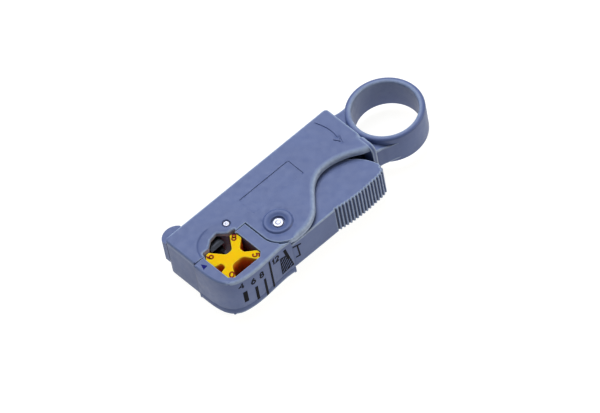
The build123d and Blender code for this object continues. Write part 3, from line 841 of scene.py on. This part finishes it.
def make_ring():
    """Finger ring with rounded rims on the neck, whose thumb side sinks towards the ring."""
    shape = Shape()
    low, high = (BODY_T - RING_T) / 2, (BODY_T + RING_T) / 2
    rim = RING_RIM
    inset = RING_R - 1.0
    neck = [(END_X - 0.3, 25.3), (END_X - 0.3, 2.8)]
    neck += curve(NECK_THUMB_SIDE)
    angles = np.linspace(math.radians(249), math.radians(115), 48)
    neck += [(RING[0] + inset * math.cos(t), RING[1] + inset * math.sin(t)) for t in angles]
    neck += arc((84.6, 25.4), (80.8, 24.8), (77.5, 25.2))

    def sink(x, y):
        return -0.9 * step01((x - 75.6) / 6) * step01((5.0 - y) / 3)

    slab(shape, [dense(neck)], *NECK_Z, 0.7, 0.5, sink, grid=1.0)
    profile = []
    corners = ((RING_R - rim, high - rim, 0), (RING_BORE_R + rim, high - rim, 90))
    corners += ((RING_BORE_R + rim, low + rim, 180), (RING_R - rim, low + rim, 270))
    for centre_r, centre_z, start in corners:
        for k in range(10):
            t = math.radians(start + 10 * k)
            profile.append((centre_r + rim * math.cos(t), centre_z + rim * math.sin(t)))

    # pale inner top rim: painted highlight with rubbing
    def worn(r, z):
        inner = math.hypot(r - RING_BORE_R - 0.35, z - high + 0.25)
        return max(0.0, 0.85 - inner / 1.2)

    lathe(shape, RING, profile + [profile[0]], 192, worn=worn)
    ring = shape.make("finger_ring_moulding", BLUE, "body")
    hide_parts("finger_ring")


# ---------------------------------------------------------------- lever moulding

JAW_FACE_Y = 10.6
JAW_GAP = 0.5
BLOCK = (11.0, 3.9)
BLOCK_HALF = 7.3
BLOCK_CHAMFER = 1.6
POCKET_HALF = BLOCK_HALF + 0.15
ARM_Z = (2.45, 14.5)
ARM_Y = -6.2
ARM_ROOT = ((20.0, 9.0), (20.0, -5.4), (27.0, -5.9))
ARM_BACK = ((62.6, 8.9), (57.0, 10.4), (48.0, 9.7), (40.0, 9.4), (31.0, 9.1))
PAD_END = (69.6, 3.1)
RIBS = 18
RIB_DEPTH = 0.6
RIB_SPAN = (0.02, 0.93)
HUB_R = 6.2
HUB_Z = (2.45, 15.05)
FLOOR_OUT = (7.0, 15.6)
FLOOR_OUT_CORNERS = ((9.7, 6.4), (12.9, 6.4))


def jaw_side():
    """Outer side of the jaw, from the nose to the step."""
    return curve(JAW_SIDE, ends=((0, -1), (1, -0.15)))


def pocket_edge():
    """Edge of the V-block's pocket, from the pivot side round to the nose side."""
    x0, x1 = BLOCK[0] - POCKET_HALF, BLOCK[0] + POCKET_HALF
    y0, y1 = BLOCK[1] - POCKET_HALF, BLOCK[1] + POCKET_HALF
    c, r = BLOCK_CHAMFER, 0.3
    mouth = y1 - JAW_FACE_Y
    right = [(x1 - c + mouth, JAW_FACE_Y, r), (x1, y1 - c, r), (x1, y0 + c, r), (x1 - c, y0, r)]
    return right + [(x0 + c, y0, r), (x0, y0 + c, r), (x0, y1 - c, r), (x0 + c - mouth, JAW_FACE_Y, r)]


def jaw_outline():
    """Jaw seen from above, with the pocket for the V-block open on the cable side."""
    end = HUB_EDGE[0][0] - JAW_GAP
    out = jaw_side() + arc(JAW_SIDE[-1], (24.45, -3.65), (end, HUB_EDGE[0][1]))[1:]
    corners = [out[-1], (end, JAW_FACE_Y, 0.25), *pocket_edge(), (JAW_SIDE[0][0], JAW_FACE_Y, 0.2), out[0]]
    return dense(out[:-1] + rounded(corners)[:-1])


def jaw_radius(x, y):
    """Rounding of the jaw's top rim: generous outside, small at the seams and the pocket."""
    outer = y < -4.2 and x < 27.5 or x < 1.5
    return 0.85 if outer and y < 9.8 else 0.22


def ribbed(points, first, last, count, depth, half=0.42):
    """Line with evenly spaced hollows cut to its left."""
    points = np.array(points)
    s = np.concatenate([[0], np.cumsum(np.linalg.norm(np.diff(points, axis=0), axis=1))])
    start, end = first * s[-1], last * s[-1]
    pitch = (end - start) / (count - 1)
    fine = np.arange(0, s[-1], 0.06)
    x, y = np.interp(fine, s, points[:, 0]), np.interp(fine, s, points[:, 1])
    tx, ty = np.gradient(x), np.gradient(y)
    length = np.hypot(tx, ty)
    phase = (fine - start) / pitch
    near = np.abs(phase - np.round(phase)) * pitch
    ok = (phase > -0.5) & (phase < count - 0.5)
    hollow = np.where(ok & (near < half), depth * np.sqrt(np.clip(1 - (near / half) ** 2, 0, 1)), 0)
    keep = ok | (np.arange(len(fine)) % 5 == 0)
    share = np.where(ok, hollow / depth, -1)
    points = np.stack([x - ty / length * hollow, y + tx / length * hollow, share], 1)
    return [tuple(point) for point in points[keep]]


def make_lever():
    shape = Shape()
    slab(shape, [jaw_outline()], 0, BODY_T, jaw_radius, jaw_radius, scored=(3.0,))
    # pocket floor with the cable's way out
    floor = [(p[0], p[1]) for p in pocket_edge()]
    floor += [(FLOOR_OUT[0], JAW_FACE_Y), *FLOOR_OUT_CORNERS, (FLOOR_OUT[1], JAW_FACE_Y)]
    slab(shape, [dense(floor, 0.8)], 0.02, 1.0, 0.1, 0.1, grid=3)
    edge = ribbed(curve(PAD_EDGE, 0.05, ((1, -0.12), (0, 1))), *RIB_SPAN, RIBS, RIB_DEPTH)
    hollows = np.array(edge)
    arm = [*ARM_ROOT, (29.0, ARM_Y)] + [p[:2] for p in edge]
    arm += arc(PAD_EDGE[-1], PAD_END, ARM_BACK[0])
    arm += curve(ARM_BACK)[1:]

    def rib_shade(loop):
        gap = np.linalg.norm(loop[:, None] - hollows[None, :, :2], axis=2)
        depth = hollows[gap.argmin(1), 2]
        # painted shade down in the rib hollows; rib tips pale from rubbing and painted highlight
        return np.where((gap.min(1) > 0.2) | (depth < 0), 0.0, 0.45 - 1.35 * depth)

    slab(shape, [dense(arm, 0.5)], *ARM_Z, 0.45, 0.45, sides=rib_shade)
    slab(shape, [np.array(circle(PIVOT, HUB_R, 72))], *HUB_Z, 0.2, 0.2, grid=3)
    lever = shape.make("lever_moulding", BLUE, "lever")
    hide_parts("jaw_lever")


# ---------------------------------------------------------------- V-block

BLOCK_Z = (1.05, 16.9)
GROOVES = ((0, 3.5, 7.9, 2.2, -0.3, 1.3), (90, 5.0, 9.6, 2.6, -0.3, 1.5))
GROOVES += ((180, 2.6, 3.4, 2.2, 0.35, 1.0), (270, 4.8, 10.0, 5.0, -0.3, 2.4))


def block_outline():
    """Star outline of the V-block: four grooves between four lobes."""
    corners = []
    flat = BLOCK_HALF - BLOCK_CHAMFER
    for angle, depth, mouth, floor, offset, radius in GROOVES:
        c, s = math.cos(math.radians(angle)), math.sin(math.radians(angle))
        local = [(BLOCK_HALF, -flat, 0.7), (BLOCK_HALF, offset - mouth / 2, 0.6)]
        local += [(BLOCK_HALF - depth, offset + side * floor / 2, radius) for side in (-1, 1)]
        local += [(BLOCK_HALF, offset + mouth / 2, 0.6), (BLOCK_HALF, flat, 0.7)]
        corners += [(BLOCK[0] + x * c - y * s, BLOCK[1] + x * s + y * c, r) for x, y, r in local]
    return dense(rounded(corners), 0.2)


def make_block():
    shape = Shape()
    slab(shape, [block_outline()], *BLOCK_Z, 0.3, 0.3, grid=1.2)
    block = shape.make("v_block_moulding", YELLOW, "v_block")
    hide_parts("v_block")


# ---------------------------------------------------------------- printed marks

INK_LIFT = 0.07
SIDE_DIGIT = (2.5, 0.6)
BLOCK_DIGIT = (2.3, 0.52)
BLOCK_DIGIT_INSET = 1.75


def oval(cx, cy, rx, ry, start=0, end=360):
    """Points of an upright oval stroke."""
    angles = [math.radians(t) for t in np.linspace(start, end, 25)]
    return [(cx + rx * math.cos(t), cy + ry * math.sin(t)) for t in angles]


DIGITS = {
    "0": [oval(0, 0, 0.32, 0.5)],
    "1": [[(-0.16, 0.3), (0.06, 0.5), (0.06, -0.5)]],
    "2": [oval(0, 0.22, 0.28, 0.28, 160, -40) + [(-0.26, -0.46), (0.32, -0.46)]],
    "4": [[(0.14, -0.5), (0.14, 0.5), (-0.32, -0.18), (0.34, -0.18)]],
    "5": [[(0.28, 0.5), (-0.24, 0.5), (-0.26, 0.08)] + oval(0, -0.16, 0.3, 0.32, 130, -140)],
    "6": [oval(0, -0.2, 0.3, 0.3), [(0.2, 0.5), (-0.12, 0.28), (-0.3, -0.2)]],
    "8": [oval(0, 0.25, 0.25, 0.25), oval(0, -0.23, 0.3, 0.27)],
}


def ribbon(shape, line, width, place):
    """Flat raised stroke along a line; place(u, v, lift) puts it on its surface."""
    p = np.array(line, float)
    joined = np.linalg.norm(p[0] - p[-1]) < 1e-6
    if joined:
        p = p[:-1]
    d = np.roll(p, -1, 0) - p
    if not joined:
        d[-1] = d[-2]
    d /= np.maximum(1e-9, np.linalg.norm(d, axis=1))[:, None]
    before = np.roll(d, 1, 0)
    if not joined:
        before[0] = d[0]
    n = np.stack([-(d + before)[:, 1], (d + before)[:, 0]], 1)
    n /= np.maximum(0.35, np.einsum("ij,ij->i", n, np.stack([-d[:, 1], d[:, 0]], 1)))[:, None]
    parts = max(1, round(width / 0.35))
    verts, count, m = [], len(p), 2 * (parts + 1)
    for at, side in zip(p, n):
        across = [at + side * width * (k / parts - 0.5) for k in range(parts + 1)]
        verts += [place(*q, 0) for q in across] + [place(*q, INK_LIFT) for q in across[::-1]]
    faces = []
    for k in range(count if joined else count - 1):
        after = (k + 1) % count
        faces += [(m * k + i, m * after + i, m * after + (i + 1) % m, m * k + (i + 1) % m) for i in range(m)]
    if not joined:
        end = m * (count - 1)
        for i in range(parts):
            faces.append((i, i + 1, m - 2 - i, m - 1 - i))
            faces.append((end + i + 1, end + i, end + m - 1 - i, end + m - 2 - i))
    shape.add(verts, faces)


def finely(points, step=0.4):
    """Open line with points added."""
    out = [points[0]]
    for a, b in zip(points, points[1:]):
        n = max(1, int(math.dist(a, b) / step))
        out += [(a[0] + (b[0] - a[0]) * k / n, a[1] + (b[1] - a[1]) * k / n) for k in range(1, n + 1)]
    return out


def write(shape, digit, centre, size, width, place, across=(1, 0), up=(0, 1)):
    """One digit drawn with strokes."""
    for line in DIGITS[digit]:
        shifts = [(u * across[0] + v * up[0], u * across[1] + v * up[1]) for u, v in line]
        at = [(centre[0] + size * dx, centre[1] + size * dy) for dx, dy in shifts]
        ribbon(shape, at, width, place)


SIDE = np.array(jaw_side())
SIDE = SIDE[SIDE[:, 0] > 2.0]


def on_side(x, z, lift):
    """Point on the outer side of the jaw or, past the step, of the arm."""
    y = np.interp(x, SIDE[:, 0], SIDE[:, 1]) if x < JAW_SIDE[-1][0] else ARM_Y
    return (x, y + 0.02 - lift, z)


BARS = ((6.15, 1.6, 5.3, 10.7), (10.7, 1.15, 2.6, 9.5), (14.7, 0.95, 0.9, 9.8), (18.0, 0.8, 1.9, 15.8))
SIZES = ((("4", 5.4),), (("6", 10.0),), (("8", 13.8),), (("1", 19.7), ("2", 21.5)))
SIZES_Z = (14.4, 13.2, 13.0, 13.8)
CABLE = ((22.8, 12.2), (26.2, 11.4), (27.6, 4.9), (22.6, 4.2))
CORE = ((25.1, 15.0), (26.2, 9.6))
BRACKET = (((28.6, 13.0), (32.2, 11.8)), ((30.6, 12.2), (31.0, 6.6), (29.2, 7.1)))
ARROWHEAD = ((0.2, 6.7), (2.2, 7.0), (1.1, 9.1))


def hatching(outline, slope, pitch):
    """Slanted strokes across a closed outline."""
    loop = np.array(outline)
    out = []
    key = loop[:, 1] - slope * loop[:, 0]
    for level in np.arange(key.min() + pitch / 2, key.max(), pitch):
        hits = []
        for (x0, z0), (x1, z1) in zip(outline, outline[1:] + outline[:1]):
            a, b = z0 - slope * x0 - level, z1 - slope * x1 - level
            if a * b < 0:
                t = a / (a - b)
                hits.append((x0 + (x1 - x0) * t, z0 + (z1 - z0) * t))
        if len(hits) == 2:
            out.append(sorted(hits))
    return out


def make_prints():
    """Size bars with their numbers, cable mark and arrowhead on the jaw, and the block's digits."""
    shape = Shape()
    for x, width, low, high in BARS:
        ribbon(shape, finely([(x, low), (x, high)]), width, on_side)
    for numerals, z in zip(SIZES, SIZES_Z):
        for digit, x in numerals:
            write(shape, digit, (x, z), *SIDE_DIGIT, on_side)
    for line in hatching(list(CABLE), 1.1, 1.7):
        ribbon(shape, finely(line), 0.7, on_side)
    ribbon(shape, finely([*CABLE, CABLE[0]]), 0.35, on_side)
    ribbon(shape, finely(CORE), 1.15, on_side)
    for line in BRACKET:
        ribbon(shape, finely(line), 0.6, on_side)
    prints = shape.make("side_prints", NAVY_INK, "lever", weld=0.0005)
    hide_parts("scale_print")
    shape = Shape()
    tip = dense(list(ARROWHEAD), 0.3)
    slab(shape, [tip], BODY_T - 0.1, BODY_T + INK_LIFT, 0.02, 0.02, grid=0.6)
    shape.make("jaw_arrowhead", BLUE_INK, "lever", weld=0.0005)
    shape = Shape()
    top = BLOCK_Z[1]
    lobe = BLOCK_HALF - BLOCK_DIGIT_INSET
    for digit, (sx, sy) in zip("0658", ((-1, -1), (-1, 1), (1, -1), (1, 1))):
        centre = (BLOCK[0] + sx * lobe, BLOCK[1] + sy * lobe)
        out = (sx * 0.7071, sy * 0.7071)
        across = (out[1], -out[0])
        write(shape, digit, centre, *BLOCK_DIGIT, lambda x, y, lift: (x, y, top - 0.01 + lift), across, out)
    shape.make("block_digits", RED_INK, "v_block", weld=0.0005)


# ---------------------------------------------------------------- pins and spring

SPRING_X, SPRING_Z = 60.0, 8.75
SPRING_Y = (3.8, 24.1)
SPRING_R, SPRING_WIRE_R, SPRING_TURNS = 2.75, 0.3, 8


def make_pin(name, node, centre, r, z0, z1, dimple):
    """Turned pin with broken edges and a shallow centre dimple."""
    shape = Shape()
    profile = [(0.001, z0), (r - 0.25, z0), (r, z0 + 0.25)]
    profile += [(r, z1 - 0.3), (r - 0.06, z1 - 0.12), (r - 0.25, z1 - 0.02), (r - 0.5, z1)]
    profile += [(dimple + 0.25, z1), (dimple + 0.08, z1 - 0.03), (dimple - 0.1, z1 - 0.12)]
    profile += [(dimple * 0.4, z1 - 0.16), (0.001, z1 - 0.17)]
    lathe(shape, centre, profile, 64)
    pin = shape.make(name, STEEL, "body", weld=0.01)
    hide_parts(node)


def make_spring():
    """Coil between the lever's seat and the back wall."""
    shape = Shape()
    length = SPRING_Y[1] - SPRING_Y[0]
    t = np.linspace(0, 2 * math.pi * SPRING_TURNS, 40 * SPRING_TURNS + 1)
    out = np.stack([np.cos(t), 0 * t, -np.sin(t)], 1)
    centre = SPRING_R * out
    centre[:, 1] = length * t / t[-1]
    along = np.stack([-SPRING_R * np.sin(t), 0 * t + length / t[-1], -SPRING_R * np.cos(t)], 1)
    along /= np.linalg.norm(along, axis=1)[:, None]
    a = np.linspace(0, 2 * math.pi, 12, endpoint=False)[None, :, None]
    side = np.cross(along, out)
    tube = centre[:, None] + SPRING_WIRE_R * (np.cos(a) * out[:, None] + np.sin(a) * side[:, None])
    tube += np.array([SPRING_X, SPRING_Y[0], SPRING_Z])
    verts = [tuple(v) for v in tube.reshape(-1, 3)]
    last = len(verts) - 12
    ends = [tuple(range(12))[::-1], tuple(range(last, last + 12))]
    shape.add(verts, quads(len(t), 12) + ends)
    spring = shape.make("lever_spring_coil", DRAWN, None, weld=0.001)
    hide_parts("lever_spring")
    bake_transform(spring)


make_body()
make_ring()
make_lever()
make_block()
make_prints()
make_pin("pivot_pin_turned", "pivot_pin", PIVOT, 1.95, 0.6, 17.0, 0.9)
make_spring()
make_pin("cassette_pin_turned", "cassette_pin", (PIN_X, PIN_Y), 1.2, 0.3, 17.35, 0.4)

CAD_LOOKS = {
    "blade_cassette": BLUE,
    "v_block_clip": DRAWN,
    "pivot_bush": BRASS,
    "pivot_washers": STEEL,
}
for i in (1, 2, 3):
    CAD_LOOKS[f"blade_{i}"] = SHADED_BLADE_STEEL
    CAD_LOOKS[f"slider_{i}"] = BRASS
    CAD_LOOKS[f"adjuster_{i}"] = DRAWN
for node, look in CAD_LOOKS.items():
    for material_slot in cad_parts[node].material_slots:
        material_slot.material = look
lip_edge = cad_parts["blade_cassette"].modifiers.new("broken edges", "BEVEL")
lip_edge.width, lip_edge.segments = 0.6 * MM, 3
lip_edge.limit_method, lip_edge.angle_limit = "ANGLE", math.radians(40)
